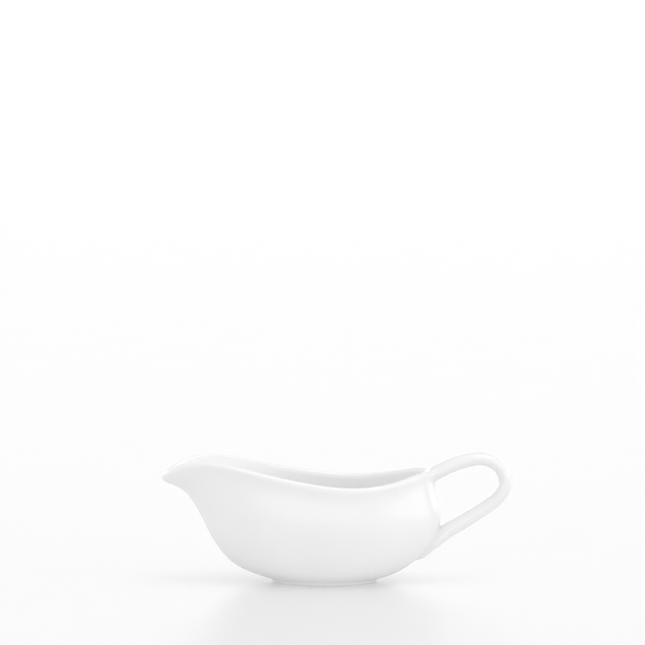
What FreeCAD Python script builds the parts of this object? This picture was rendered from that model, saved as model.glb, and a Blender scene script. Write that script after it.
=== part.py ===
"""Gravy boat in glazed white porcelain, as a parametric FreeCAD document (millimetres).

The boat is a slip-cast bowl with a long open spout, an oval foot ring that it stands on, and a
loop handle that is cast on its own and stuck to the back wall with slip, which leaves a small
fillet of slip round each end of the handle.  X runs from the spout (-X) to the handle (+X), Y
across, Z up.  The origin is on the table, half way between the spout tip and the handle's bend.
"""
import FreeCAD, Part
import math
import os
import Sketcher

Vector = FreeCAD.Vector

# ---------------------------------------------------------------------------------------------
# Driving dimensions, in millimetres: alias, value, meaning
# ---------------------------------------------------------------------------------------------
SIZES = [
    ("bowl_length", 155.5, "spout tip to the outer edge of the back rim"),
    ("rim_width", 81.0, "outer width of the rim at its widest place"),
    ("widest_from_tip", 105.0, "spout tip to the widest place of the rim"),
    ("rim_tip", 63.0, "height of the rim's crest at the pouring tip"),
    ("rim_cheek", 71.5, "height of the crest on the two cheeks of the spout"),
    ("rim_throat", 65.4, "height of the crest where the spout leaves the bowl"),
    ("rim_low", 57.8, "height of the crest at its lowest, beside the middle"),
    ("rim_back", 64.0, "height of the crest at the back"),
    ("lip_flare", 1.6, "how far the lip of the spout turns outward"),
    ("wall", 4.0, "wall of the bowl"),
    ("rim_thickness", 4.3, "wall at the rounded rim"),
    ("floor_thickness", 4.5, "bottom of the bowl"),
    ("foot_from_tip", 93.0, "spout tip to the middle of the foot ring"),
    ("foot_length", 62.0, "outer length of the foot ring where it meets the bowl"),
    ("foot_width", 49.0, "outer width of the foot ring where it meets the bowl"),
    ("foot_height", 2.0, "height of the foot ring"),
    ("foot_thickness", 4.6, "width of the foot ring where it meets the bowl"),
    ("foot_taper", 1.3, "how far each side of the foot ring draws in from top to bottom"),
    ("foot_edge", 0.4, "rounding of the foot ring's lower edges"),
    ("handle_reach", 44.5, "outer edge of the back rim to the outermost point of the handle"),
    ("handle_top", 74.2, "height of the handle's highest point"),
    ("handle_thickness", 7.8, "handle in its own plane"),
    ("handle_width", 13.0, "handle across"),
    ("arm_height", 28.8, "height of the lower arm's middle line where it nears the wall"),
    ("tail_height", 13.2, "height at which the handle's tail ends on the wall"),
    ("slip_thickness", 0.8, "layer of slip between the handle and the wall"),
    ("slip_spread", 1.2, "how far the slip comes out past the handle's sides"),
]

# The outer wall from the foot ring to the rim.  Each level gives its height as a share of the
# way up, and how much of the way out it has come towards the tip, the sides and the back.  The
# shares above 1 are the belly, which is wider than the rim above it.
LEVELS = [
    (0.05, 0.157, 0.27, 0.30),
    (0.12, 0.302, 0.50, 0.54),
    (0.25, 0.442, 0.77, 0.84),
    (0.42, 0.553, 0.98, 1.06),
    (0.60, 0.635, 1.08, 1.12),
    (0.77, 0.726, 1.06, 1.065),
    (0.90, 0.830, 1.02, 1.02),
    (0.96, 0.924, 1.01, 1.005),
    (1.00, 1.000, 1.00, 1.00),
]
AROUND = 36                      # points in each ring
LIP_SLOPE = 30                   # degrees off upright at which the wall reaches the lip
CREST_PLACES = {                 # degrees round from the tip to each height of the crest
    "tip": 0,
    "cheek": 34,
    "throat": 58,
    "low": 88,
    "quarter": 135,
    "back": 180,
}
QUARTER_SHARE = 0.87             # share of the rise from the low to the back at the quarter
TUCK = 0.38                      # how much rounder than an oval the back of the rim is
PINCH = 0.05                     # how much slimmer than an oval the spout is
FLARE_START = 0.8                # share of the height at which the lip starts to turn out
ROUNDING_STEPS = (30, 60, 90, 120, 150)
# Where along the wall, from the floor's corner to the rim, its thickness is set
THICKNESS_PLACES = {"corner": 0.0, "wall_starts": 0.5, "wall_ends": 0.9, "rim": 1.0}
FLOOR_SHARES = (0.75, 0.5, 0.42)  # rings of the flat floor, as shares of its corner ring
FLOOR_DISH = 0.4                 # how far the floor lies below its corner

# An ellipse needs its larger radius first: this one is larger than any section of the handle
ROOMY_RADIUS = 100

# Numbers by which a sketch knows an ellipse's centre and its two axis lines
CENTRE_POINT = 3
LONG_AXIS_LINE = 1
SHORT_AXIS_LINE = 2

# The handle's middle line, from the rim round the loop to the lower arm: shares of its reach
# and of its height above the arm.
LOOP = [
    (0.22, 0.900),
    (0.46, 0.980),
    (0.695, 1.000),
    (0.885, 0.922),
    (1.00, 0.705),
    (0.93, 0.504),
    (0.75, 0.345),
    (0.46, 0.163),
    (0.18, 0.000),
]
LOOP_SECTIONS = 16

# Shares of the handle's thickness and width along the loop: a little stouter at both ends
HANDLE_THICKNESS = [(0.0, 1.0), (0.1, 1.05), (0.3, 1.0), (0.6, 1.0), (0.8, 1.06), (1.0, 1.12)]
HANDLE_WIDTH = [(0.0, 1.2), (0.15, 1.0), (0.35, 0.95), (0.65, 0.95), (0.9, 1.0), (1.0, 1.08)]
UPPER_SLIP = (0.0, 0.02, 0.04, 0.06)

# The handle's tail down the wall: share of the height from the tail's end to the arm, how far
# it stands off the wall as a share of the handle's thickness, and its share of the width.
TAIL = [
    (0.60, 0.56, 1.15),
    (0.33, 0.34, 1.15),
    (0.11, 0.25, 1.00),
    (0.00, 0.14, 0.75),
]
LOWER_SLIP = [
    (1.20, 0.40, 0.90),
    (0.95, 0.40, 1.10),
    (0.60, 0.40, 1.15),
    (0.33, 0.40, 1.15),
    (0.11, 0.35, 1.00),
    (-0.07, 0.30, 0.75),
]


def make_document():
    """Start the document and write every driving dimension into its sheet."""
    doc = FreeCAD.newDocument("gravy_boat")
    sheet = doc.addObject("Spreadsheet::Sheet", "sizes")
    for row, (alias, value, meaning) in enumerate(SIZES, start=1):
        sheet.set(f"A{row}", alias)
        sheet.set(f"B{row}", str(value))
        sheet.set(f"C{row}", meaning)
        sheet.setAlias(f"B{row}", alias)
    doc.recompute()
    return doc, sheet


# ---------------------------------------------------------------------------------------------
# Curves and skins
# ---------------------------------------------------------------------------------------------
DEGREE = 3


def smooth_law(points):
    """A value that runs smoothly through (where, value) points and is level at both ends."""
    level = Vector(1, 0, 0)
    curve = Part.BSplineCurve()
    curve.interpolate(
        Points=[Vector(where, value, 0) for where, value in points],
        Parameters=[where for where, value in points],
        InitialTangent=level,
        FinalTangent=level,
    )
    return lambda where: curve.value(where).y


def chord_shares(columns):
    """Shares of the mean length, from 0 to 1, of the polylines that the columns make."""
    steps = [0.0]
    for row in range(1, len(columns[0])):
        mean = sum((column[row] - column[row - 1]).Length for column in columns) / len(columns)
        steps.append(steps[-1] + mean)
    return [step / steps[-1] for step in steps]


def skin(rings):
    """One smooth B-spline surface through closed rings of points: round in u, along in v."""
    count = len(rings[0])
    around = [place / count for place in range(count + 1)]
    ring_curves = []
    for ring in rings:
        curve = Part.BSplineCurve()
        curve.interpolate(Points=ring, PeriodicFlag=True, Parameters=around)
        ring_curves.append(curve)
    along = chord_shares(list(zip(*rings)))
    poles = []
    for column in zip(*(curve.getPoles() for curve in ring_curves)):
        rib = Part.BSplineCurve()
        rib.interpolate(Points=list(column), Parameters=along)
        poles.append(rib.getPoles())
    surface = Part.BSplineSurface()
    surface.buildFromPolesMultsKnots(
        poles,
        ring_curves[0].getMultiplicities(),
        rib.getMultiplicities(),
        ring_curves[0].getKnots(),
        rib.getKnots(),
        True,
        False,
        DEGREE,
        DEGREE,
    )
    return surface


def closed_skin(rings):
    """Solid inside the skin through the rings, of which the first and last lie flat."""
    side = skin(rings).toShape()
    faces = [side]
    for edge in side.Edges:
        if not edge.isSeam(side):
            faces.append(Part.Face(Part.Wire([edge])))
    shell = Part.makeShell(faces)
    shell.sewShape()
    return Part.makeSolid(shell)


# ---------------------------------------------------------------------------------------------
# Bowl
# ---------------------------------------------------------------------------------------------
def key_places(size):
    """Places along X that the pieces share."""
    tip = -(size["bowl_length"] + size["handle_reach"]) / 2
    return {
        "tip": tip,
        "rear": tip + size["bowl_length"],
        "foot": tip + size["foot_from_tip"],
        "widest": tip + size["widest_from_tip"],
    }


def foot_outline(size, place_x, angles):
    """Outer edge of the foot ring's top, on which the bowl's outside starts."""
    return [
        Vector(
            place_x - size["foot_length"] / 2 * math.cos(angle),
            size["foot_width"] / 2 * math.sin(angle),
            size["foot_height"],
        )
        for angle in angles
    ]


def outer_rings(size):
    """Rings of points on the outside of the bowl, from the foot ring up to the rim."""
    place = key_places(size)
    rounding = size["rim_thickness"] / 2
    rim_front = place["tip"] + rounding * (1 - math.sin(math.radians(LIP_SLOPE)))
    foot_z = size["foot_height"]
    quarter = size["rim_low"] + (size["rim_back"] - size["rim_low"]) * QUARTER_SHARE
    crest = smooth_law([
        (CREST_PLACES["tip"], size["rim_tip"] - 2 * rounding),
        (CREST_PLACES["cheek"], size["rim_cheek"] - 1.5 * rounding),
        (CREST_PLACES["throat"], size["rim_throat"] - rounding),
        (CREST_PLACES["low"], size["rim_low"] - rounding),
        (CREST_PLACES["quarter"], quarter - rounding),
        (CREST_PLACES["back"], size["rim_back"] - rounding),
    ])
    step = 360 / AROUND
    degrees = [step * number for number in range(AROUND)]
    angles = [math.radians(angle) for angle in degrees]
    rings = [foot_outline(size, place["foot"], angles)]
    foot_front = place["foot"] - size["foot_length"] / 2
    foot_rear = place["foot"] + size["foot_length"] / 2
    for up, front_share, side_share, back_share in LEVELS:
        front = foot_front + (rim_front - foot_front) * front_share
        rear = foot_rear + (place["rear"] - foot_rear) * back_share
        side = size["foot_width"] / 2 + (size["rim_width"] - size["foot_width"]) / 2 * side_share
        middle = (front + rear) / 2
        half_length = (rear - front) / 2
        skew = place["foot"] + (place["widest"] - place["foot"]) * up - middle
        flare = size["lip_flare"] * max(0.0, (up - FLARE_START) / (1 - FLARE_START)) ** 2
        ring = []
        for angle, degree in zip(angles, degrees):
            ahead = math.cos(angle)
            across = math.sin(angle)
            frontness = (1 + ahead) / 2
            tuck = TUCK * up ** 2 * (1 - frontness) * (1 - across ** 4)
            pinch = PINCH * up ** 2 * frontness * math.sin(2 * angle) ** 2
            ring.append(Vector(
                middle - half_length * ahead + skew * across ** 2,
                (side * (1 - tuck - pinch) + flare * frontness * across ** 2) * across,
                foot_z + (crest(min(degree, 360 - degree)) - foot_z) * up,
            ))
        rings.append(ring)
    return rings


def bowl_rings(size, coat=0.0):
    """Rings over the whole bowl: up the outside, over the rounded rim and down the inside.

    A coat is an even layer on the outside of the bowl.
    """
    outside = outer_rings(size)
    surface = skin(outside)
    along = chord_shares(list(zip(*outside)))
    thickness = smooth_law([
        (THICKNESS_PLACES["corner"], size["floor_thickness"]),
        (THICKNESS_PLACES["wall_starts"], size["wall"]),
        (THICKNESS_PLACES["wall_ends"], size["wall"]),
        (THICKNESS_PLACES["rim"], size["rim_thickness"]),
    ])
    inside = []
    for v, ring in zip(along, outside):
        inside.append([
            point + surface.normal(number / AROUND, v) * thickness(v)
            for number, point in enumerate(ring)
        ])
    for v, ring in zip(along, outside):
        for number, point in enumerate(ring):
            away = surface.normal(number / AROUND, v) * -1
            if v == 0.0:
                away = Vector(away.x, away.y, 0).normalize()
            ring[number] = point + away * coat
    rim = []
    for degree in ROUNDING_STEPS:
        turn = math.radians(degree)
        ring = []
        for number, (outer, inner) in enumerate(zip(outside[-1], inside[-1])):
            outward = (outer - inner).normalize()
            rise = surface.getDN(number / AROUND, 1.0, 0, 1)
            rise = (rise - outward * rise.dot(outward)).normalize()
            reach = outward * math.cos(turn) + rise * math.sin(turn)
            ring.append((outer + inner) / 2 + reach * (size["rim_thickness"] + coat) / 2)
        rim.append(ring)
    corner = inside[0]
    middle = Vector(sum(point.x for point in corner) / AROUND, 0, 0)
    floor_z = size["foot_height"] + size["floor_thickness"] - FLOOR_DISH
    floor = []
    for share in FLOOR_SHARES:
        floor.append([
            Vector(middle.x + (point.x - middle.x) * share, point.y * share, floor_z)
            for point in corner
        ])
    return outside + rim + inside[::-1] + floor


def add_skin(doc, name, rings):
    """Object of the document that holds the solid inside a skin."""
    thing = doc.addObject("Part::Feature", name)
    thing.Shape = closed_skin(rings)
    thing.Placement = FreeCAD.Placement(Vector(), FreeCAD.Rotation())
    return thing


# ---------------------------------------------------------------------------------------------
# Foot ring
# ---------------------------------------------------------------------------------------------
def origin_plane(body, role):
    """One of the body's own origin planes, such as XY_Plane."""
    return next(feature for feature in body.Origin.OriginFeatures if feature.Role == role)


def oval_sketch(body, name, height, inset, size):
    """Sketch of the foot's oval at a height, drawn in from the outline by an inset.

    Height and inset are expressions on the sheet.
    """
    sketch = body.newObject("Sketcher::SketchObject", name)
    sketch.AttachmentSupport = [(origin_plane(body, "XY_Plane"), "")]
    sketch.MapMode = "FlatFace"
    sketch.setExpression("AttachmentOffset.Base.z", height)
    long_axis = size["foot_length"] / 2
    short_axis = size["foot_width"] / 2
    oval = sketch.addGeometry(Part.Ellipse(Vector(), long_axis, short_axis), False)
    sketch.exposeInternalGeometry(oval)
    sketch.addConstraint(Sketcher.Constraint("Coincident", oval, CENTRE_POINT, -1, 1))
    sketch.addConstraint(Sketcher.Constraint("Horizontal", LONG_AXIS_LINE))
    for line, axis, length in (
        (LONG_AXIS_LINE, "long_axis", "foot_length"),
        (SHORT_AXIS_LINE, "short_axis", "foot_width"),
    ):
        number = sketch.addConstraint(Sketcher.Constraint("Distance", line, size[length]))
        sketch.renameConstraint(number, axis)
        sketch.setExpression(f"Constraints.{axis}", f"sizes.{length} - 2 * ({inset})")
    return sketch


def foot_loft(doc, body, kind, name, top, base):
    """Straight-sided loft in the body between an oval at the top and one on the table."""
    loft = body.newObject(kind, name)
    loft.Profile = top
    loft.Sections = [base]
    loft.Ruled = True
    doc.recompute()
    return loft


def make_foot_ring(doc, size):
    """Oval ring whose sides draw in downward to a flat bearing edge."""
    body = doc.addObject("PartDesign::Body", "foot_ring")
    body.Label = "foot_ring"
    foot_loft(
        doc, body, "PartDesign::AdditiveLoft", "foot_block",
        oval_sketch(body, "outer_top", "sizes.foot_height", "0", size),
        oval_sketch(body, "outer_base", "0", "sizes.foot_taper", size),
    )
    ring = foot_loft(
        doc, body, "PartDesign::SubtractiveLoft", "foot_hollow",
        oval_sketch(body, "inner_top", "sizes.foot_height", "sizes.foot_thickness", size),
        oval_sketch(body, "inner_base", "0", "sizes.foot_thickness - sizes.foot_taper", size),
    )
    body.setExpression(
        ".Placement.Base.x",
        "-(sizes.bowl_length + sizes.handle_reach) / 2 + sizes.foot_from_tip",
    )
    lower_edges = [
        f"Edge{number}"
        for number, edge in enumerate(ring.Shape.Edges, start=1)
        if edge.BoundBox.ZMax < size["foot_edge"] / 2
    ]
    rounding = body.newObject("PartDesign::Fillet", "foot_rounding")
    rounding.Base = (ring, lower_edges)
    rounding.setExpression("Radius", "sizes.foot_edge")
    doc.recompute()
    return body


# ---------------------------------------------------------------------------------------------
# Handle and its slip
# ---------------------------------------------------------------------------------------------
BACK = 0.5                       # half way round the bowl from the tip


def wall_at(surface, height):
    """Point, outward normal and downward tangent of the outer back wall at a height."""
    rib = surface.uIso(BACK)
    level = Part.Plane(Vector(0, 0, height), Vector(0, 0, 1))
    crossing = rib.intersectCS(level)[0][0]
    point = Vector(crossing.X, crossing.Y, crossing.Z)
    outward = surface.normal(BACK, rib.parameter(point)) * -1
    return point, outward, Vector(outward.z, 0, -outward.x)


def add_section(doc, name, middle, direction, half_width, half_thickness):
    """Ellipse across the handle: its long axis lies in Y, and it faces along the direction."""
    section = doc.addObject("Part::Ellipse", name)
    section.MajorRadius = ROOMY_RADIUS
    section.setExpression("MajorRadius", half_width)
    section.setExpression("MinorRadius", half_thickness)
    width_axis = Vector(0, 1, 0)
    rotation = FreeCAD.Rotation(width_axis, direction.cross(width_axis), direction, "ZXY")
    section.Placement = FreeCAD.Placement(middle, rotation)
    return section


def add_loft(doc, name, sections):
    loft = doc.addObject("Part::Loft", name)
    loft.Sections = sections
    loft.Solid = True
    loft.Ruled = False
    return loft


def add_cut(doc, name, base, tool):
    cut = doc.addObject("Part::Cut", name)
    cut.Base = base
    cut.Tool = tool
    return cut


def handle_line(size):
    """Middle line of the handle, from inside the back rim round the loop to the lower arm."""
    rear = key_places(size)["rear"]
    half = size["handle_thickness"] / 2
    reach = size["handle_reach"] - half
    top = size["handle_top"] - half
    arm = size["arm_height"]
    root_share = HANDLE_THICKNESS[0][1]
    start = Vector(rear - size["wall"] / 2, 0, size["rim_back"] - half * root_share)
    points = [start]
    for out, up in LOOP:
        points.append(Vector(rear + reach * out, 0, arm + (top - arm) * up))
    line = Part.BSplineCurve()
    line.interpolate(Points=points)
    return line


def loop_sections(doc, size, name, shares, spread):
    """Sections along the loop at shares of its length, spread out to the sides and below.

    The first lies inside the back wall and stands upright, as the wall does there.
    """
    line = handle_line(size)
    thickness = smooth_law(HANDLE_THICKNESS)
    width = smooth_law(HANDLE_WIDTH)
    extra = f" + sizes.slip_spread * {spread}"
    sections = []
    for number, share in enumerate(shares, start=1):
        where = line.FirstParameter + (line.LastParameter - line.FirstParameter) * share
        direction = Vector(*line.tangent(where)[0]) if share > 0 else Vector(1, 0, 0)
        below = direction.cross(Vector(0, -1, 0)) * size["slip_spread"] * spread
        sections.append(add_section(
            doc,
            f"{name}_{number}",
            line.value(where) + below * 0.6,
            direction,
            f"sizes.handle_width / 2 * {width(share):.4f}" + extra,
            f"sizes.handle_thickness / 2 * {thickness(share):.4f}" + extra + " * 0.4",
        ))
    return sections


def tail_sections(doc, size, name, tail, surface, spread):
    """Sections down the wall, from half its depth to where the tail stands off it."""
    depth = size["wall"] / 2
    span = size["arm_height"] - size["tail_height"]
    sections = []
    for number, (up, stand, across) in enumerate(tail, start=1):
        proud = size["handle_thickness"] * stand
        point, outward, down = wall_at(surface, size["tail_height"] + span * up)
        sections.append(add_section(
            doc,
            f"{name}_{number}",
            point + outward * (proud - depth) / 2,
            down,
            f"sizes.handle_width / 2 * {across} + sizes.slip_spread * {spread}",
            f"(sizes.handle_thickness * {stand} + sizes.wall / 2) / 2",
        ))
    return sections


def make_handle(doc, size, surface, coated_bowl):
    """Oval sections along the loop and down the wall, as far as the slip on the wall."""
    shares = [number / LOOP_SECTIONS for number in range(LOOP_SECTIONS + 1)]
    sections = loop_sections(doc, size, "handle_section", shares, 0)
    sections += tail_sections(doc, size, "tail_section", TAIL, surface, 0)
    loft = add_loft(doc, "handle_whole", sections)
    return add_cut(doc, "handle", loft, coated_bowl)


def make_slip(doc, name, sections, bowl, coated_bowl):
    """Layer of slip on the wall: the part of the loft between the wall and the handle's end."""
    patch = doc.addObject("Part::Common", f"{name}_patch")
    patch.Base = add_loft(doc, f"{name}_whole", sections)
    patch.Tool = coated_bowl
    return add_cut(doc, name, patch, bowl)


# ---------------------------------------------------------------------------------------------
# The whole boat
# ---------------------------------------------------------------------------------------------
def check_and_write(doc, pieces):
    """Stop on any failed object or bad solid, then write one STEP file for each piece."""
    for thing in doc.Objects:
        if "Invalid" in thing.State or "Error" in thing.State:
            raise RuntimeError(f"{thing.Name} did not build: {thing.State}")
    for piece in pieces:
        shape = piece.Shape
        if shape.isNull() or not shape.isValid() or len(shape.Solids) != 1:
            raise RuntimeError(f"{piece.Label} is not one valid solid")
        print(f"{piece.Label}: {shape.Volume:.0f} cubic millimetres")
    os.makedirs("parts", exist_ok=True)
    for piece in pieces:
        piece.Shape.exportStep(os.path.join("parts", piece.Label + ".step"))


def main():
    doc, sheet = make_document()
    size = {alias: sheet.get(alias) for alias, value, meaning in SIZES}
    surface = skin(outer_rings(size))
    bowl = add_skin(doc, "bowl", bowl_rings(size))
    coated_bowl = add_skin(doc, "coated_bowl", bowl_rings(size, size["slip_thickness"]))
    foot_ring = make_foot_ring(doc, size)
    handle = make_handle(doc, size, surface, coated_bowl)
    upper = loop_sections(doc, size, "upper_slip_section", UPPER_SLIP, 1)
    upper_slip = make_slip(doc, "upper_slip_joint", upper, bowl, coated_bowl)
    lower = tail_sections(doc, size, "lower_slip_section", LOWER_SLIP, surface, 1)
    lower_slip = make_slip(doc, "lower_slip_joint", lower, bowl, coated_bowl)
    doc.recompute()
    check_and_write(doc, [bowl, foot_ring, handle, upper_slip, lower_slip])


main()
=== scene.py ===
# %% [markdown]
# # A gravy boat in white glazed porcelain
# The boat is four things in the potter's hands: a slip-cast bowl drawn out into a spout, a foot
# ring, a loop handle that is cast on its own, and the slip that sticks the handle's two ends on.
# Everything is dipped in one clear glaze. This lesson builds each of them as a clean mesh of
# four-sided faces worked out from a few measures, because thrown and cast forms are smooth laws
# rather than shapes that are pushed about by hand.

# %% Load the frame
import math

import bmesh
import bpy
import numpy as np
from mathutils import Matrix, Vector
from mathutils.bvhtree import BVHTree


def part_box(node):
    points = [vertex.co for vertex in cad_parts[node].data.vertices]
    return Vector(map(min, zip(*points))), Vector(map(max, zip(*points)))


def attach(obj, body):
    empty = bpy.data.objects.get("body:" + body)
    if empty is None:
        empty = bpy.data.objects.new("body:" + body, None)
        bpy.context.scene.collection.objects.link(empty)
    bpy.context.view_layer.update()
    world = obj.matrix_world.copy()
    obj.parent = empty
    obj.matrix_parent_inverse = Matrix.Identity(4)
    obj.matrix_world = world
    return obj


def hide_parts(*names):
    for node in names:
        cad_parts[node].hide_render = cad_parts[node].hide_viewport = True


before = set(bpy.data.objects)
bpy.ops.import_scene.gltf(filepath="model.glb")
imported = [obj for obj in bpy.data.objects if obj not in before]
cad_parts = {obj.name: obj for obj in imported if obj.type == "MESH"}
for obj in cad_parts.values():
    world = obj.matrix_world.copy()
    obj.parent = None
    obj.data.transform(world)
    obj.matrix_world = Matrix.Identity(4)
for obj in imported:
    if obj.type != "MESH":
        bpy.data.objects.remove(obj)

bpy.context.view_layer.update()
MM = 0.001

# %% [markdown]
# ## Curves that run through a few measures
# A maker's profile is known at a handful of places and is smooth in between. A cubic spline does
# just that, so one small function serves the bowl's wall, the crest of the rim and the handle.
# `level` makes the line end flat, which a crest needs where its two mirrored halves meet.


# %% A smooth line through measures
def smooth(where, values, at, level=False):
    """Cubic spline through values at places, read at new places."""
    where = np.asarray(where, float)
    values = np.asarray(values, float)
    flat = values.reshape(len(where), -1)
    gap = np.diff(where)
    slope = np.diff(flat, axis=0) / gap[:, None]
    system = np.zeros((len(where), len(where)))
    right = np.zeros_like(flat)
    for row in range(1, len(where) - 1):
        system[row, row - 1:row + 2] = gap[row - 1], 2 * (gap[row - 1] + gap[row]), gap[row]
        right[row] = 6 * (slope[row] - slope[row - 1])
    system[0, 0] = system[-1, -1] = 1
    if level:
        system[0, :2] = 2 * gap[0], gap[0]
        system[-1, -2:] = gap[-1], 2 * gap[-1]
        right[0] = 6 * slope[0]
        right[-1] = -6 * slope[-1]
    bend = np.linalg.solve(system, right)
    at = np.atleast_1d(np.asarray(at, float))
    below = np.clip(np.searchsorted(where, at, side="right") - 1, 0, len(where) - 2)
    span = gap[below][:, None]
    after = (at - where[below])[:, None]
    before = (where[below + 1] - at)[:, None]
    result = (bend[below] * before ** 3 + bend[below + 1] * after ** 3) / (6 * span)
    result += (flat[below] / span - bend[below] * span / 6) * before
    result += (flat[below + 1] / span - bend[below + 1] * span / 6) * after
    return result.reshape((len(at),) + values.shape[1:])


def unit(vectors):
    """Vectors of length one."""
    return vectors / np.linalg.norm(vectors, axis=-1, keepdims=True)


def chord_shares(rings):
    """How far along a stack of rings each ring lies, from 0 to 1, by the mean distance."""
    steps = np.linalg.norm(np.diff(rings, axis=0), axis=-1).mean(axis=1)
    return np.concatenate([[0], np.cumsum(steps)]) / steps.sum()


def fill_in(rings, between):
    """Rings set densely between the key rings, with the given number of steps in each gap."""
    along = chord_shares(rings)
    at = [np.linspace(a, b, n, endpoint=False) for a, b, n in zip(along, along[1:], between)]
    return smooth(along, rings, np.concatenate(at + [[1.0]]))


print("a level line from 0 to 1, a quarter of the way:", smooth([0, 1], [0, 1], 0.25, level=True))

# %% [markdown]
# ## The bowl
# The real bowl comes out of a plaster mould, so its wall is even and its outside is one skin.
# Each ring of points goes right round the boat at one height. It starts as the foot's oval,
# swells to the belly, and ends as the rim, where the front is pulled out into the spout.

# %% Measures of the bowl
foot_low, foot_high = (np.array(corner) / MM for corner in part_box("foot_ring"))
foot_x = (foot_low[0] + foot_high[0]) / 2
foot_long = (foot_high[0] - foot_low[0]) / 2
foot_short = (foot_high[1] - foot_low[1]) / 2
foot_z = foot_high[2]
SPOUT_AHEAD = 93.0              # from the middle of the foot to the spout's tip
BOWL_LENGTH = 155.5             # from the spout's tip to the outer edge of the back rim
WIDEST_AT = 105.0               # from the spout's tip to the widest place of the rim
tip_x = foot_x - SPOUT_AHEAD
rear_x = tip_x + BOWL_LENGTH
widest_x = tip_x + WIDEST_AT
RIM_WIDTH = 81.0
RIM_THICKNESS = 4.3
WALL = 4.0
FLOOR = 4.5
LIP_FLARE = 1.6                 # how far the lip turns out at the spout's sides
FLARE_START = 0.8               # share of the height where it starts to
LIP_SLOPE = math.radians(30)
TUCK = 0.38                     # how far the two back corners are rounded off
PINCH = 0.05                    # how far the spout is pinched in behind its lip
ROUNDING = RIM_THICKNESS / 2
TIP_BEAD = 1.5                  # how much fuller the rim is at the spout's tip
TIP_BEAD_DEGREES = 24
TIP_BEAD_ROWS = [(-1, 1.0), (-2, 0.75), (-3, 0.2)]      # share of it on the top three levels
TIP_SET_BACK = 1.12             # keeps the fuller tip at the same length
COLUMNS = 168                   # points round the bowl, about 2.5 mm apart at the rim
LEVEL_ROWS = 6                  # rows of faces between two levels
RIM_ROWS = 4                    # and between two points of the rim's half circle

# Degrees round from the spout's tip, height of the rim's top, and how far the outside's last ring
# lies below that top in roundings: the lip leans, so there it lies lower than one rounding
CREST = [(0, 63.0, 2.0), (34, 71.5, 1.5), (58, 65.4, 1.0), (88, 57.8, 1.0), (135, 63.19, 1.0),
         (180, 64.0, 1.0)]
RIM_BACK = CREST[-1][1]

# Share of the way up, and of the way out to the front, the sides and the back
LEVELS = [
    (0.05, 0.157, 0.27, 0.30),
    (0.12, 0.302, 0.50, 0.54),
    (0.25, 0.442, 0.77, 0.84),
    (0.42, 0.553, 0.98, 1.06),
    (0.60, 0.635, 1.08, 1.12),
    (0.77, 0.726, 1.06, 1.065),
    (0.90, 0.830, 1.02, 1.02),
    (0.96, 0.924, 1.01, 1.005),
    (1.00, 1.000, 1.00, 1.00),
]
turn = np.arange(COLUMNS) * 2 * math.pi / COLUMNS
ahead, across = np.cos(turn), np.sin(turn)
frontness = (1 + ahead) / 2
print("foot:", round(foot_x, 2), round(foot_long, 2), round(foot_short, 2), "tip:", round(tip_x, 2))


# %% Rings on the outside of the bowl
def foot_oval(inset, height):
    """The foot's outline, drawn in by an inset, at a height."""
    return np.stack([
        foot_x - (foot_long - inset) * ahead,
        (foot_short - inset) * across,
        np.full(COLUMNS, float(height)),
    ], axis=1)


degrees = np.degrees(turn)
from_tip = np.minimum(degrees, 360 - degrees)
crest = smooth([place for place, top, below in CREST],
               [top - below * ROUNDING for place, top, below in CREST], from_tip, level=True)
rim_front = tip_x + ROUNDING * (1 - math.sin(LIP_SLOPE))
outside_keys = [foot_oval(0, foot_z)]
for up, front_share, side_share, back_share in LEVELS:
    front = foot_x - foot_long + (rim_front - foot_x + foot_long) * front_share
    rear = foot_x + foot_long + (rear_x - foot_x - foot_long) * back_share
    side = foot_short + (RIM_WIDTH / 2 - foot_short) * side_share
    middle, half_length = (front + rear) / 2, (rear - front) / 2
    skew = foot_x + (widest_x - foot_x) * up - middle
    flare = LIP_FLARE * max(0.0, (up - FLARE_START) / (1 - FLARE_START)) ** 2
    tuck = TUCK * up ** 2 * (1 - frontness) * (1 - across ** 4)
    pinch = PINCH * up ** 2 * frontness * np.sin(2 * turn) ** 2
    outside_keys.append(np.stack([
        middle - half_length * ahead + skew * across ** 2,
        (side * (1 - tuck - pinch) + flare * frontness * across ** 2) * across,
        foot_z + (crest - foot_z) * up,
    ], axis=1))
outside_keys = np.array(outside_keys)
print("rings on the outside:", len(outside_keys))

# %% [markdown]
# ## Wall, rim and floor
# Slip builds up evenly on the mould, so the inside is the outside moved in by the wall. The rim
# is sponged round while the clay is soft: half a circle from the outer face to the inner one.
# At the spout's tip the rim is a fuller bead, which stops a drip from running down the outside.
# The whole skin, outside, rim, inside and floor, is then one smooth stack of rings.


# %% Directions square to a skin
def skin_directions(rings, at):
    """Outward direction and upward direction of the skin at shares of its length."""
    along = chord_shares(rings)
    small = 1e-3
    rise = smooth(along, rings, np.clip(at + small, 0, 1))
    rise = rise - smooth(along, rings, np.clip(at - small, 0, 1))
    here = smooth(along, rings, at)
    around = np.roll(here, -1, axis=1) - np.roll(here, 1, axis=1)
    return unit(np.cross(rise, around)), unit(rise)


along = chord_shares(outside_keys)
outward, rise = skin_directions(outside_keys, along)
thickness = smooth([0, 0.5, 0.9, 1], [FLOOR, WALL, WALL, RIM_THICKNESS], along, level=True)
inside_keys = outside_keys - outward * thickness[:, None, None]
tipness = np.exp(-(from_tip / TIP_BEAD_DEGREES) ** 2)[:, None]
for row, share in TIP_BEAD_ROWS:
    outside_keys[row] += outward[row] * tipness * TIP_BEAD * share
    outside_keys[row, :, 0] += tipness[:, 0] * TIP_SET_BACK * share
    inside_keys[row, :, 0] += tipness[:, 0] * TIP_SET_BACK * share
print("outward at the side points to +Y:", outward[4, COLUMNS // 4].round(2))

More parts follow.
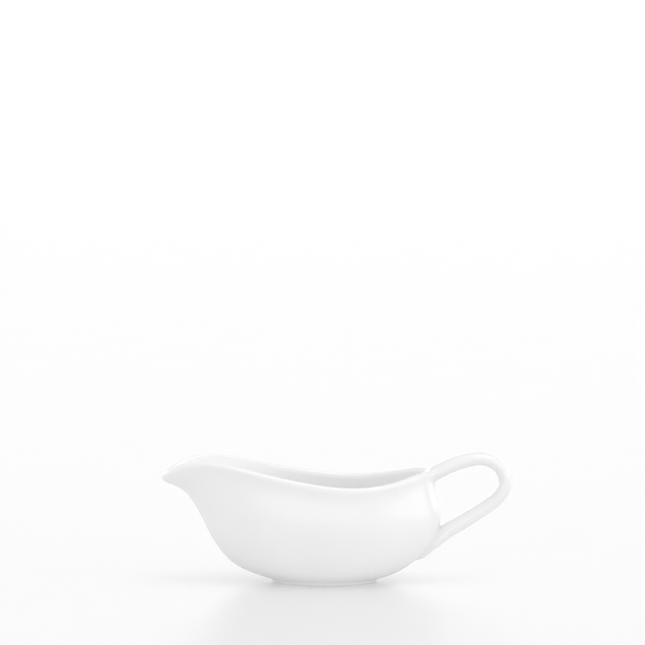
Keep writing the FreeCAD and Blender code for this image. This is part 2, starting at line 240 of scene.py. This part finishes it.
# %% Close the rim and lay the floor
rim_middle = (outside_keys[-1] + inside_keys[-1]) / 2
rim_out = unit(outside_keys[-1] - inside_keys[-1])
rim_radius = np.linalg.norm(outside_keys[-1] - inside_keys[-1], axis=1, keepdims=True) / 2
rim_up = rise[-1] - rim_out * (rise[-1] * rim_out).sum(axis=1, keepdims=True)
rim_up = unit(rim_up)
rim_keys = [
    rim_middle + (rim_out * math.cos(a) + rim_up * math.sin(a)) * rim_radius
    for a in np.radians([30, 60, 90, 120, 150])
]
FLOOR_DISH = 0.4                # the floor's middle lies this much lower than its edge
FLOOR_SHARES = (0.75, 0.5, 0.42)
floor_middle = np.array([inside_keys[0][:, 0].mean(), 0, foot_z + FLOOR - FLOOR_DISH])
floor_keys = []
for share in FLOOR_SHARES:
    ring = floor_middle + (inside_keys[0] - floor_middle) * share
    ring[:, 2] = floor_middle[2]
    floor_keys.append(ring)
skin_keys = np.array([*outside_keys, *rim_keys, *inside_keys[::-1], *floor_keys])
wall_rows = [LEVEL_ROWS] * len(LEVELS)
bowl_skin = fill_in(skin_keys, wall_rows + [RIM_ROWS] * (len(rim_keys) + 1) + wall_rows
                    + [5] * len(FLOOR_SHARES))
fine_outside = fill_in(outside_keys, [24] * len(LEVELS))
rim_first = sum(wall_rows)
rim_count = RIM_ROWS * (len(rim_keys) + 1) + 1
print("rings in the whole skin:", len(bowl_skin), "of which on the rim:", rim_count)

# %% [markdown]
# ## From rings to a mesh
# A stack of rings becomes faces by joining each ring to the next. The two ends are closed by
# rings that shrink to a small last one, so that even the middle of the floor has no long thin
# faces that the shiny glaze would show up.


# %% Turn stacks of rings into closed meshes
def mesh_from_rings(name, rings, closed=False, marks=None):
    """Object from a stack of rings, capped at both ends, or joined end to end if closed."""
    rings = np.asarray(rings)
    count, around = rings.shape[:2]
    faces = []
    for row in range(count if closed else count - 1):
        after = (row + 1) % count
        for place in range(around):
            beside = (place + 1) % around
            faces.append((row * around + place, row * around + beside,
                          after * around + beside, after * around + place))
    if not closed:
        faces.append(tuple(range(around))[::-1])
        faces.append(tuple(range((count - 1) * around, count * around)))
    mesh = bpy.data.meshes.new(name)
    mesh.from_pydata([tuple(p) for p in (rings.reshape(-1, 3) * MM)], [], faces)
    mesh.update()
    mesh.shade_smooth()
    for mark, values in (marks or {}).items():
        layer = mesh.attributes.new(mark, "FLOAT", "POINT")
        layer.data.foreach_set("value", np.repeat(values, around).astype(np.float32))
    piece = bpy.data.objects.new(name, mesh)
    bpy.context.scene.collection.objects.link(piece)
    return piece


def face_outward(piece):
    """Turn every face so that it looks out of the clay, and print the clay's volume."""
    shape = bmesh.new()
    shape.from_mesh(piece.data)
    bmesh.ops.recalc_face_normals(shape, faces=shape.faces)
    volume = shape.calc_volume(signed=True)
    if volume < 0:
        bmesh.ops.reverse_faces(shape, faces=shape.faces)
        volume = -volume
    loose = sum(1 for edge in shape.edges if not edge.is_manifold)
    shape.to_mesh(piece.data)
    shape.free()
    print(f"{piece.name}: {volume / MM ** 3:.0f} mm3, open edges {loose}, "
          f"faces {len(piece.data.polygons)}")
    return piece


def shrink(ring, shares):
    """Copies of a ring drawn in towards its middle."""
    middle = ring.mean(axis=0)
    return [middle + (ring - middle) * share for share in shares]


# %% Cap the bowl and make its mesh
UNDER_DISH = 0.35               # the underside rises this much inside the foot ring
floor_rings = shrink(bowl_skin[-1], np.linspace(0.9, 0.06, 14))
under_shares = np.linspace(0.05, 0.97, 20)
under_rings = shrink(bowl_skin[0], under_shares)
for ring, share in zip(under_rings, under_shares):
    ring[:, 2] = foot_z + UNDER_DISH * (1 - share ** 6)
bowl_rings = np.array([*under_rings, *bowl_skin, *floor_rings])
rim_rows = len(under_rings) + rim_first + np.arange(rim_count)
thin = np.zeros(len(bowl_rings))
thin[rim_rows] = np.sin(np.linspace(0, math.pi, rim_count))
bowl = face_outward(mesh_from_rings("bowl_shell", bowl_rings, marks={"thin_glaze": thin}))

# %% [markdown]
# ## The handle's line
# The handle is one round-edged strap that leaves the back rim, rises, turns down in a loop and
# comes back to the wall low down, where it is pressed on in a flat tail. Its middle line is again
# a smooth line through a few measures, and its oval section grows stouter towards both ends.

# %% Measures of the handle
THICKNESS, WIDTH = 7.8, 13.0
REACH, TOP = 44.5, 74.18
ARM_HEIGHT, TAIL_HEIGHT = 28.8, 13.2
LOOP = [(0.22, 0.900), (0.46, 0.980), (0.695, 1.000), (0.885, 0.922), (1.00, 0.705),
        (0.93, 0.504), (0.75, 0.345), (0.46, 0.163), (0.18, 0.000)]
STOUTNESS = [(0.0, 1.0), (0.1, 1.05), (0.3, 1.0), (0.6, 1.0), (0.8, 1.06), (1.0, 1.12)]
BREADTH = [(0.0, 1.2), (0.15, 1.0), (0.35, 0.95), (0.65, 0.95), (0.9, 1.0), (1.0, 1.08)]
# Height share from the tail's end to the arm, stand off the wall in thicknesses, width share.
# The last two rows carry the tail into the wall, so that it ends in a rounded tongue.
TAIL = [(0.60, 0.56, 1.15), (0.33, 0.34, 1.15), (0.11, 0.25, 1.00), (0.00, 0.14, 0.75),
        (-0.06, 0.03, 0.50), (-0.10, -0.14, 0.30)]
SECTIONS = 17
SECTION_POINTS = 72

half = THICKNESS / 2
line_points = [(rear_x - WALL / 2, 0, RIM_BACK - half)]
for out, up in LOOP:
    line_points.append((rear_x + (REACH - half) * out, 0,
                        ARM_HEIGHT + (TOP - half - ARM_HEIGHT) * up))
line_points = np.array(line_points)
line_shares = chord_shares(line_points[:, None])
print("length of the handle's middle line, mm:",
      round(float(np.linalg.norm(np.diff(line_points, axis=0), axis=1).sum()), 1))

# %% Sections along the handle
section_turn = np.arange(SECTION_POINTS) * 2 * math.pi / SECTION_POINTS


def section(middle, direction, half_width, half_thickness):
    """Oval across the handle. It starts on the side that faces up or away from the bowl."""
    beside = np.array([0.0, 1.0, 0.0])
    over = unit(np.cross(direction, beside)) * -1
    return (middle + np.outer(np.sin(section_turn) * half_width, beside)
            + np.outer(np.cos(section_turn) * half_thickness, over))


handle_keys = []
for share in np.linspace(0, 1, SECTIONS):
    point = smooth(line_shares, line_points, share)[0]
    ahead_point = smooth(line_shares, line_points, min(share + 1e-3, 1))[0]
    behind_point = smooth(line_shares, line_points, max(share - 1e-3, 0))[0]
    direction = unit(ahead_point - behind_point) if share > 0 else np.array([1.0, 0, 0])
    stout = smooth(*zip(*STOUTNESS), share, level=True)[0]
    broad = smooth(*zip(*BREADTH), share, level=True)[0]
    handle_keys.append(section(point, direction, WIDTH / 2 * broad, half * stout))

print("sections along the loop:", len(handle_keys))

# %% Press the tail on and make the handle's mesh
back = fine_outside[:, COLUMNS // 2]
back_slope = unit(np.gradient(back, axis=0))
for up, stand, breadth in TAIL:
    height = TAIL_HEIGHT + (ARM_HEIGHT - TAIL_HEIGHT) * up
    point = np.array([np.interp(height, back[:, 2], back[:, n]) for n in range(3)])
    wall_up = unit(np.array([np.interp(height, back[:, 2], back_slope[:, n]) for n in range(3)]))
    wall_out = np.array([wall_up[2], 0, -wall_up[0]])
    proud = THICKNESS * stand
    handle_keys.append(section(point + wall_out * (proud - WALL / 2) / 2, -wall_up,
                               WIDTH / 2 * breadth, (proud + WALL / 2) / 2))
handle_keys = np.array(handle_keys)
handle_skin = fill_in(handle_keys, [8] * (SECTIONS - 1) + [10] + [8] * (len(TAIL) - 1))
handle_rings = np.array([
    *shrink(handle_skin[0], np.linspace(0.1, 0.9, 5)),
    *handle_skin,
    *shrink(handle_skin[-1], [0.6, 0.2]),
])
handle = face_outward(mesh_from_rings("loop_handle", handle_rings))

# %% [markdown]
# ## The slip joints
# The handle is stuck on with slip, which is clay as thin as cream, and the maker sponges the
# squeezed-out slip into a hollow curve. To find the joint, paths run over the bowl's skin like
# spokes from the middle of the handle's end. Each leaves the handle somewhere, and there a curve
# is laid that starts along the handle and ends along the bowl, so that the glaze flows over both.


# %% Spokes over the bowl's skin
def read_skin(rows, places):
    """Points of the bowl's skin between its rings, as flat faces have them."""
    low_row = np.clip(np.floor(rows).astype(int), 0, len(bowl_skin) - 2)
    low_place = np.floor(places).astype(int)
    part_row = (rows - low_row)[..., None]
    part_place = (places - low_place)[..., None]
    a, b = low_place % COLUMNS, (low_place + 1) % COLUMNS
    lower = bowl_skin[low_row, a] * (1 - part_place) + bowl_skin[low_row, b] * part_place
    upper = bowl_skin[low_row + 1, a] * (1 - part_place) + bowl_skin[low_row + 1, b] * part_place
    return lower * (1 - part_row) + upper * part_row


def spokes(height, count, length, step):
    """Even paths over the bowl's back, out from the middle line at a height. First is upward."""
    outside_rows = np.arange(rim_first + 1)
    start_row = np.interp(height, bowl_skin[outside_rows, COLUMNS // 2, 2], outside_rows)
    rows = np.full(count, start_row)
    places = np.full(count, COLUMNS / 2)
    lean = np.arange(count) * 2 * math.pi / count
    paths = [read_skin(rows, places)]
    for _ in range(int(length / step)):
        here = read_skin(rows, places)
        row_size = np.linalg.norm(read_skin(rows + 0.5, places) - read_skin(rows - 0.5, places),
                                  axis=-1)
        place_size = np.linalg.norm(read_skin(rows, places + 0.5)
                                    - read_skin(rows, places - 0.5), axis=-1)
        rows = rows + np.cos(lean) * step / row_size
        places = places + np.sin(lean) * step / place_size
        paths.append(read_skin(rows, places))
    return np.array(paths).swapaxes(0, 1)


print("a point of the skin half way up the back:", read_skin(27.0, COLUMNS / 2).round(1))


# %% Find the nearest clay
def tree_of(piece):
    """Search tree of a piece's faces, in millimetres."""
    return BVHTree.FromPolygons([v.co / MM for v in piece.data.vertices],
                                [tuple(p.vertices) for p in piece.data.polygons])


def nearest_on(piece, tree, point):
    """Nearest point of a piece, and the smooth and the flat direction out of its clay there."""
    mesh = piece.data
    place, flat_out, index, gap = tree.find_nearest(Vector(point))
    corners = mesh.polygons[index].vertices
    weights = [1 / ((mesh.vertices[c].co / MM - place).length + 1e-6) for c in corners]
    mix = sum(np.array(mesh.vertices[c].normal) * w for c, w in zip(corners, weights))
    return np.array(place), unit(mix), np.array(flat_out)


bowl_tree = tree_of(bowl)
handle_tree = tree_of(handle)


def outside_handle(point):
    """How far a point lies outside the handle; less than nothing inside it."""
    place, _, flat_out = nearest_on(handle, handle_tree, point)
    away = point - place
    return np.linalg.norm(away) * (1 if away @ flat_out > 0 else -1)


print("the back of the bowl, low down, lies this far outside the handle's tail:",
      round(float(outside_handle(read_skin(20.0, COLUMNS / 2))), 2))


# %% Find where a joint's edge runs
def joint_edges(paths, step):
    """Distance along each spoke at which it comes out of the handle, smoothed round the ring."""
    edges = []
    for path in paths:
        coarse = next(n for n in range(4, len(path), 4) if outside_handle(path[n]) > 0)
        inner, outer = coarse - 4.0, float(coarse)
        for _ in range(12):
            middle = (inner + outer) / 2
            below = int(middle)
            point = path[below] + (path[below + 1] - path[below]) * (middle - below)
            inner, outer = (inner, middle) if outside_handle(point) > 0 else (middle, outer)
        edges.append(inner * step)
    waves = np.fft.rfft(edges)
    waves[len(waves) // 3:] = 0
    return np.fft.irfft(waves, len(edges))


def round_the_joint(measures, count):
    """A measure given at the top, the sides and the bottom of a joint, all the way round."""
    top, side, bottom = measures
    places = np.arange(count) * 360 / count
    return smooth([0, 90, 180, 270, 360], [top, side, bottom, side, top], places, level=True)


# %% One hollow curve of slip
PROUD = 0.015                   # the slip's edges lie this far over both skins
RUN_ON = 0.4                    # and run on this far as they dive
DIVE = 0.07                     # this deep into the clay
ROOT_DEPTH = 0.7                # the slip's hidden corner lies this deep
CURVE_POINTS = 13
PATH_STEP = 0.2
PATH_LENGTH = 26


def hollow_curve(start, start_way, end, end_way, pull, shares):
    """Points of a curve that leaves its start along one way and comes to its end along another."""
    return [
        start * (2 * t ** 3 - 3 * t ** 2 + 1) + start_way * pull * (t ** 3 - 2 * t ** 2 + t)
        + end * (3 * t ** 2 - 2 * t ** 3) + end_way * pull * (t ** 3 - t ** 2)
        for t in shares
    ]


def slip_profile(path, edge, spread, hold):
    """Closed section of the slip where one spoke crosses the joint's edge."""
    def at(distance):
        place = max(distance, 0) / PATH_STEP
        below = min(int(place), len(path) - 2)
        return path[below] + (path[below + 1] - path[below]) * (place - below)
    joint = at(edge)
    lift = nearest_on(bowl, bowl_tree, joint)[1]
    climb = joint
    for _ in range(8):
        climb, handle_out, flat_out = nearest_on(handle, handle_tree, climb)
        way = unit(lift - handle_out * (lift @ handle_out))
        climb = climb + way * hold / 8
    climb, handle_out, flat_out = nearest_on(handle, handle_tree, climb)
    climb = climb + handle_out * PROUD
    way = unit(lift - handle_out * (lift @ handle_out))
    bowl_end = at(edge + spread)
    bowl_way = unit(at(edge + spread + 0.8) - at(edge + spread - 0.4))
    bowl_out = nearest_on(bowl, bowl_tree, bowl_end)[1]
    bowl_end = bowl_end + bowl_out * PROUD
    pull = np.linalg.norm(bowl_end - joint) + np.linalg.norm(climb - joint)
    return [
        climb + way * RUN_ON - handle_out * DIVE,
        *hollow_curve(climb, -way, bowl_end, bowl_way, pull, np.linspace(0, 1, CURVE_POINTS)),
        bowl_end + bowl_way * RUN_ON - bowl_out * DIVE,
        joint - bowl_out * ROOT_DEPTH - handle_out * ROOT_DEPTH,
    ]


print("a hollow curve from (0, 1) to (1, 0):", np.round(hollow_curve(
    np.array([0, 1]), np.array([0, -1]), np.array([1, 0]), np.array([1, 0]), 1, [0.25, 0.5]), 2))


# %% Lay the slip round both joints
def slip_fillet(name, height, spread, hold, count=160):
    """Ring of slip round one end of the handle, `spread` over the bowl and `hold` up the handle."""
    paths = spokes(height, count, PATH_LENGTH, PATH_STEP)
    edges = joint_edges(paths, PATH_STEP)
    measures = zip(paths, edges, round_the_joint(spread, count), round_the_joint(hold, count))
    rings = np.array([slip_profile(*each) for each in measures]).swapaxes(0, 1)
    pooled = np.zeros(len(rings))
    pooled[1:1 + CURVE_POINTS] = np.sin(np.linspace(0, math.pi, CURVE_POINTS))
    return face_outward(mesh_from_rings(name, rings, closed=True, marks={"pooled_glaze": pooled}))


UPPER_JOINT, LOWER_JOINT = 60.5, 24.0    # heights that the spokes start from
upper_slip = slip_fillet("upper_slip", UPPER_JOINT, spread=(3.0, 3.5, 2.2), hold=(8.0, 4.0, 2.0))
lower_slip = slip_fillet("lower_slip", LOWER_JOINT, spread=(3.4, 3.0, 1.8), hold=(3.0, 2.4, 1.2))

# %% [markdown]
# ## The foot ring
# A foot ring is turned or cast under the bowl so that the boat stands steady and its glazed
# bottom never touches the kiln shelf. Its section is worked out once, as measures in from the
# foot's outline, and carried round the oval. A small hollow curve joins it to the bowl, and its
# two lower edges are rubbed round with a wet sponge.

# %% The foot ring's section
RING_WIDTH = 4.6
DRAW_IN = 1.3                   # how far both sides lean in on their way down
EDGE = 0.45                     # radius of the sponged lower edges
SHOULDER_IN, SHOULDER_UP = 0.30, 1.6    # where the sides end and the hollow curves begin
INNER_CURVE = [(0.15, 2.1), (0.9, 2.32), (1.3, 2.6)]    # past the inner side, and up
BURIED = (2.3, 3.4)             # one ring hidden in the bowl's clay
CURVE_ROW = 3                   # row of the bowl's outside where the outer curve ends

sponged = np.radians(np.linspace(10, 90, 6))
outer_edge = [(DRAW_IN + EDGE * (1 - math.cos(a)), EDGE * (1 - math.sin(a))) for a in sponged]
inner_edge = [(RING_WIDTH - inset, height) for inset, height in outer_edge[::-1]]
section_in = [
    (SHOULDER_IN, SHOULDER_UP),
    *outer_edge,
    *inner_edge,
    (RING_WIDTH - SHOULDER_IN, SHOULDER_UP),
    *[(RING_WIDTH + past, up) for past, up in INNER_CURVE],
    BURIED,
]
foot_rings = [foot_oval(inset, height) for inset, height in section_in]
print("points in the ring's section:", len(section_in))

# %% Carry the section round and join it to the bowl
outer_end = fine_outside[CURVE_ROW]
outer_way = unit(fine_outside[CURVE_ROW + 1] - outer_end)
outer_out = skin_directions(outside_keys, np.array([0.02]))[0][0]
side_way = unit(foot_oval(SHOULDER_IN, SHOULDER_UP) - foot_oval(DRAW_IN, EDGE))
pull = np.linalg.norm(outer_end - foot_rings[0], axis=1, keepdims=True) * 1.1
kink = hollow_curve(foot_rings[0], side_way, outer_end, outer_way, pull, np.linspace(0, 1, 8)[1:])
kink.append(outer_end + outer_way * RUN_ON - outer_out * 0.1)
rings = np.array([*kink[::-1], *foot_rings])
pooled = np.zeros(len(rings))
pooled[:len(kink) + 1] = np.sin(np.linspace(0.2, math.pi, len(kink) + 1))
foot = face_outward(mesh_from_rings("turned_foot", rings, closed=True,
                                    marks={"pooled_glaze": pooled}))

# %% [markdown]
# ## Tie every piece to the CAD body
# The boat is fired into one body, so everything rides on the one root. Each piece stands for the
# CAD solid of the same part of the boat, which is hidden in its place.

# %% Ride and replace the CAD solids
for piece, node, slot in (
    (bowl, "bowl", "glazed_porcelain"),
    (handle, "handle", "glazed_porcelain"),
    (upper_slip, "upper_slip_joint", "glazed_porcelain"),
    (lower_slip, "lower_slip_joint", "glazed_porcelain"),
    (foot, "foot_ring", "foot_porcelain"),
):
    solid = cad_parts[node]
    tree = tree_of(piece)
    gaps = sorted(tree.find_nearest(v.co / MM)[3] for v in list(solid.data.vertices)[::7])
    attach(piece, "root")
    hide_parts(node)
    print(f"{piece.name} stands for {node}: its points lie {gaps[len(gaps) // 2]:.3f} mm away "
          f"in the middle case, {gaps[int(len(gaps) * 0.98)]:.2f} mm at the 98th in a hundred")

# %% [markdown]
# ## Colours and nodes
# A colour is given as it looks on a screen, and the shader wants it as light. One function turns
# the one into the other. A second fills a node's sockets, with a link where another node's output
# is given and with the value itself otherwise. The third adds a node with its settings.


# %% Helpers for materials
def linear(hex_colour):
    """Linear colour from a screen colour such as #F3F2EF."""
    shades = [int(hex_colour[n:n + 2], 16) / 255 for n in (1, 3, 5)]
    return [s / 12.92 if s <= 0.04045 else ((s + 0.055) / 1.055) ** 2.4 for s in shades] + [1.0]


def fill(made, sockets):
    """Link a node's sockets to the outputs given, and set the others to their values."""
    for name, source in sockets.items():
        if isinstance(source, bpy.types.NodeSocket):
            made.id_data.links.new(source, made.inputs[name])
        else:
            made.inputs[name].default_value = linear(source) if isinstance(source, str) else source


def node(material, kind, sockets=None, ramp=None, **settings):
    """Add a node with its settings, fill its sockets and set the two ends of its ramp."""
    made = material.node_tree.nodes.new("ShaderNode" + kind)
    for name, value in settings.items():
        setattr(made, name, value)
    fill(made, sockets or {})
    if ramp:
        for element, (place, shade) in zip(made.color_ramp.elements, ramp):
            element.position = place
            element.color = (shade, shade, shade, 1)
    return made


def new_material(name):
    """A material, its shader, and the place in the piece that its patterns start from."""
    material = bpy.data.materials.new(name)
    material.use_nodes = True
    shader = material.node_tree.nodes["Principled BSDF"]
    return material, shader, node(material, "TexCoord").outputs["Object"]


print("a screen grey of #808080 as light:", [round(v, 3) for v in linear("#808080")])

# %% [markdown]
# ## Glazed porcelain
# Porcelain is a white, dense clay fired until it is nearly glass, under a clear glossy glaze. The
# shader copies that: a white matt body with a hard clear coat. Up close a glaze is never a perfect
# mirror. It keeps a faint waviness from flowing in the kiln, a few pinholes where gas came out,
# looks a breath cooler where it pooled thick in a corner, and a breath warmer where it ran thin
# over the rim. Those are what tell the eye that this is fired glaze and not plastic.

# %% Build the glazed porcelain
BODY_WHITE, CLOUD_WHITE = "#F5F5F5", "#F7F7F7"
POOLED_WHITE = "#EEF0F0"
THIN_WHITE = "#F8F6F4"
GLAZE_MARKS = (                 # what is painted on the meshes, how much it shows, its colour
    ("pooled_glaze", 0.35, POOLED_WHITE),
    ("thin_glaze", 0.5, THIN_WHITE),
)
SPECK_GREY = "#C9C4BA"
METRE = 1000.0                  # a pattern of so many millimetres has this over it as its scale
CLOUD_SIZE = 40
WAVE_SIZE = 7                   # from crest to crest of the glaze's waviness
SPECK_CELL = 9                  # at most one speck in a cell of this size
SPECK_CORE, SPECK_REACH = 0.012, 0.03   # it is full and it ends this far out, in cells
SPECK_RARENESS = 0.93           # this share of the cells has none
SPECK_SHOWS = 0.45


def glazed_porcelain(name):
    """White porcelain under a clear glaze."""
    material, shader, place = new_material(name)

    # Cloudy firing: broad patches that differ by a shade too small to name
    clouds = node(material, "TexNoise", {"Vector": place, "Scale": METRE / CLOUD_SIZE,
                                         "Detail": 2.0}).outputs["Fac"]
    cloud_band = node(material, "ValToRGB", {"Fac": clouds}, ramp=[(0.35, 0.0), (0.65, 1.0)])
    colour = node(material, "Mix", {"Factor": cloud_band.outputs["Color"], "A": BODY_WHITE,
                                    "B": CLOUD_WHITE}, data_type="RGBA").outputs["Result"]

    # Where the glaze pooled in a hollow, and where it ran thin over the rim
    for mark, shows, tint in GLAZE_MARKS:
        painted = node(material, "Attribute", attribute_name=mark).outputs["Fac"]
        share = node(material, "Math", {0: painted, 1: shows}, operation="MULTIPLY").outputs[0]
        colour = node(material, "Mix", {"Factor": share, "A": colour, "B": tint},
                      data_type="RGBA").outputs["Result"]

    # Iron specks and pinholes: real ones are 0.1 to 0.3 mm, drawn a little larger so that they show
    cells = node(material, "TexVoronoi", {"Vector": place, "Scale": METRE / SPECK_CELL})
    chance = node(material, "TexWhiteNoise", {"Vector": cells.outputs["Position"]})
    is_rare = node(material, "Math", {0: chance.outputs["Value"], 1: SPECK_RARENESS},
                   operation="GREATER_THAN").outputs[0]
    dot = node(material, "MapRange", {"Value": cells.outputs["Distance"], "From Min": SPECK_CORE,
                                      "From Max": SPECK_REACH, "To Min": 1.0, "To Max": 0.0})
    speck = node(material, "Math", {0: dot.outputs["Result"], 1: is_rare},
                 operation="MULTIPLY").outputs[0]
    share = node(material, "Math", {0: speck, 1: SPECK_SHOWS}, operation="MULTIPLY").outputs[0]
    colour = node(material, "Mix", {"Factor": share, "A": colour, "B": SPECK_GREY},
                  data_type="RGBA").outputs["Result"]

    # Under the coat the body is a soft matt white that varies a little
    roughness = node(material, "MapRange", {"Value": clouds, "To Min": 0.26, "To Max": 0.36})

    # The glaze's waviness, a few thousandths high, and its pinholes
    waves = node(material, "TexNoise", {"Vector": place, "Scale": METRE / WAVE_SIZE,
                                        "Detail": 1.0})
    wavy = node(material, "Bump", {"Height": waves.outputs["Fac"], "Strength": 0.35,
                                   "Distance": 0.02 * MM})
    holes = node(material, "Bump", {"Height": speck, "Normal": wavy.outputs["Normal"],
                                    "Strength": 0.5, "Distance": 0.05 * MM}, invert=True)
    fill(shader, {
        "Base Color": colour, "Roughness": roughness.outputs["Result"], "IOR": 1.5,
        "Normal": holes.outputs["Normal"], "Coat Weight": 1.0, "Coat IOR": 1.5,
        "Coat Roughness": 0.04, "Coat Normal": holes.outputs["Normal"],
    })
    return material


glazed = glazed_porcelain("clear_glazed_porcelain")
print(glazed.name, "has", len(glazed.node_tree.nodes), "nodes")

# %% [markdown]
# ## Bare porcelain on the foot
# A glazed foot would stick to the kiln shelf, so the potter wipes it clean before the firing and
# rubs it on a stone after it. That leaves a dry, slightly warm, matt band with fine grit, a
# little grey where the boat has been slid about on tables.

# %% Build the bare porcelain
GRIT_SHADE, CLAY_SHADE = "#E4DED3", "#F0ECE4"
WORN_SHADE = "#C9C5BD"
GRIT_SIZE = 0.4                 # real grit is a tenth of this, drawn coarser so that it shows
RUB_SIZE = 12

bare, shader, place = new_material("bare_fired_porcelain")
grit = node(bare, "TexNoise", {"Vector": place, "Scale": METRE / GRIT_SIZE,
                               "Detail": 3.0}).outputs["Fac"]
rubbed = node(bare, "TexNoise", {"Vector": place, "Scale": METRE / RUB_SIZE, "Detail": 3.0})
rubbed_band = node(bare, "ValToRGB", {"Fac": rubbed.outputs["Fac"]},
                   ramp=[(0.45, 0.0), (0.7, 0.6)])
clay = node(bare, "Mix", {"Factor": grit, "A": GRIT_SHADE, "B": CLAY_SHADE}, data_type="RGBA")
worn = node(bare, "Mix", {"Factor": rubbed_band.outputs["Color"], "A": clay.outputs["Result"],
                          "B": WORN_SHADE}, data_type="RGBA")
dry = node(bare, "MapRange", {"Value": grit, "To Min": 0.62, "To Max": 0.85})
grain = node(bare, "Bump", {"Height": grit, "Strength": 0.6, "Distance": 0.03 * MM})
fill(shader, {"Base Color": worn.outputs["Result"], "Roughness": dry.outputs["Result"],
              "IOR": 1.5, "Normal": grain.outputs["Normal"]})
print(bare.name, "has", len(bare.node_tree.nodes), "nodes")

# %% Give out the materials
WIPED_UP_TO = 0.25              # the glaze is wiped off below this height
for piece in (bowl, handle, upper_slip, lower_slip, foot):
    piece.data.materials.append(glazed)
foot.data.materials.append(bare)
for face in foot.data.polygons:
    face.material_index = int(face.center.z < WIPED_UP_TO * MM)
print("bare faces under the foot:", sum(face.material_index for face in foot.data.polygons))

# %% [markdown]
# ## Table, light and camera
# White ware is shown on white. The satin table mirrors the bright room when it is seen at a low
# angle, yet it sends less light up at the boat. A broad soft light comes from above and a weaker
# one from a window on the handle's side. The form is then told by small steps of grey, darkest
# where the belly turns under and hides the sky. The camera stands far off with a long lens, a
# little above the table, so the boat keeps its true proportions.

# %% Set the table
TABLE_GREY, MOTTLE_GREY = "#CECECE", "#D2D2D2"
TABLE_GLOW = 0.21               # opal acrylic lets some light through from below
TABLE_REACH = 400000.0
TABLE_THICKNESS = 20.0
MOTTLE_SIZE = 60

table, shader, place = new_material("satin_opal_acrylic_table")
mottle = node(table, "TexNoise", {"Vector": place, "Scale": METRE / MOTTLE_SIZE,
                                  "Detail": 3.0}).outputs["Fac"]
sheet = node(table, "Mix", {"Factor": mottle, "A": TABLE_GREY, "B": MOTTLE_GREY},
             data_type="RGBA")
flat = node(table, "MapRange", {"Value": mottle, "To Min": 0.7, "To Max": 0.8})
fill(shader, {
    "Base Color": sheet.outputs["Result"], "Roughness": flat.outputs["Result"],
    "Coat Weight": 1.0, "Coat IOR": 1.6, "Coat Roughness": 0.32,
    "Emission Color": (1, 1, 1, 1), "Emission Strength": TABLE_GLOW,
})

board_ring = np.stack([TABLE_REACH * ahead, TABLE_REACH * across, np.zeros(COLUMNS)], axis=1)
board_lower = board_ring - [0, 0, TABLE_THICKNESS]
board = face_outward(mesh_from_rings("table_board", [
    *shrink(board_lower, [0.1]), board_lower, board_ring,
    *shrink(board_ring, [0.1, 0.01, 0.001]),
]))
board.data.shade_flat()
board.data.materials.append(table)

# %% Light the room
BRIGHTEST_WAY = unit(np.array([0.35, -0.1, 0.93]))
HORIZON_GLOW = 1.45             # the room's pale walls, low down all round
LAMPS = [                       # name, strength, softness in degrees, the way its light goes
    ("ceiling_light", 0.40, 35, (-0.15, 0.15, -1)),
    ("side_window_light", 0.20, 60, (-0.9, 0.35, -0.3)),
]
world = bpy.data.worlds.new("bright_room")
bpy.context.scene.world = world
world.use_nodes = True
facing = node(world, "TexCoord").outputs["Generated"]
side = node(world, "VectorMath", {0: facing, 1: BRIGHTEST_WAY}, operation="DOT_PRODUCT")
dome = node(world, "MapRange", {"Value": side.outputs["Value"], "From Min": -0.3,
                                "From Max": 0.95, "To Min": 0.58, "To Max": 0.83},
            interpolation_type="SMOOTHSTEP")
height = node(world, "SeparateXYZ", {"Vector": facing}).outputs["Z"]
horizon = node(world, "MapRange", {"Value": height, "From Min": 0.1, "From Max": 0.5,
                                   "To Min": 1.0, "To Max": 0.0},
               interpolation_type="SMOOTHSTEP")
glow = node(world, "Mix", {"Factor": horizon.outputs["Result"], "A": dome.outputs["Result"],
                           "B": HORIZON_GLOW}, data_type="FLOAT")
fill(world.node_tree.nodes["Background"], {"Color": (1, 1, 1, 1),
                                           "Strength": glow.outputs["Result"]})

for name, strength, softness, way in LAMPS:
    lamp = bpy.data.lights.new(name, "SUN")
    lamp.energy = strength
    lamp.angle = math.radians(softness)
    light = bpy.data.objects.new(name, lamp)
    light.rotation_euler = Vector(way).to_track_quat("-Z", "Y").to_euler()
    bpy.context.scene.collection.objects.link(light)

# %% Stand the camera
ELEVATION = math.radians(7.7)   # how far above the table the boat is seen from
DISTANCE = 2.5
FRAME_WIDTH = 0.3696            # how wide the view is at the boat
AIM_ACROSS, AIM_UP = -0.0083, 0.1481    # the middle of the view, from the frame's origin
SENSOR = 36.0
view_way = Vector((0, math.cos(ELEVATION), -math.sin(ELEVATION)))
up_view = Vector((0, math.sin(ELEVATION), math.cos(ELEVATION)))
aim = Vector((AIM_ACROSS, 0, 0)) + up_view * AIM_UP
lens = bpy.data.cameras.new("long_lens")
lens.sensor_width = SENSOR
lens.lens = SENSOR * DISTANCE / FRAME_WIDTH
lens.clip_end = 1000.0
camera = bpy.data.objects.new("camera", lens)
camera.location = -view_way * DISTANCE
camera.rotation_euler = (aim - camera.location).to_track_quat("-Z", "Y").to_euler()
bpy.context.scene.collection.objects.link(camera)
bpy.context.scene.camera = camera
bpy.context.scene.view_settings.view_transform = "Standard"
print("lens, mm:", round(lens.lens, 1))
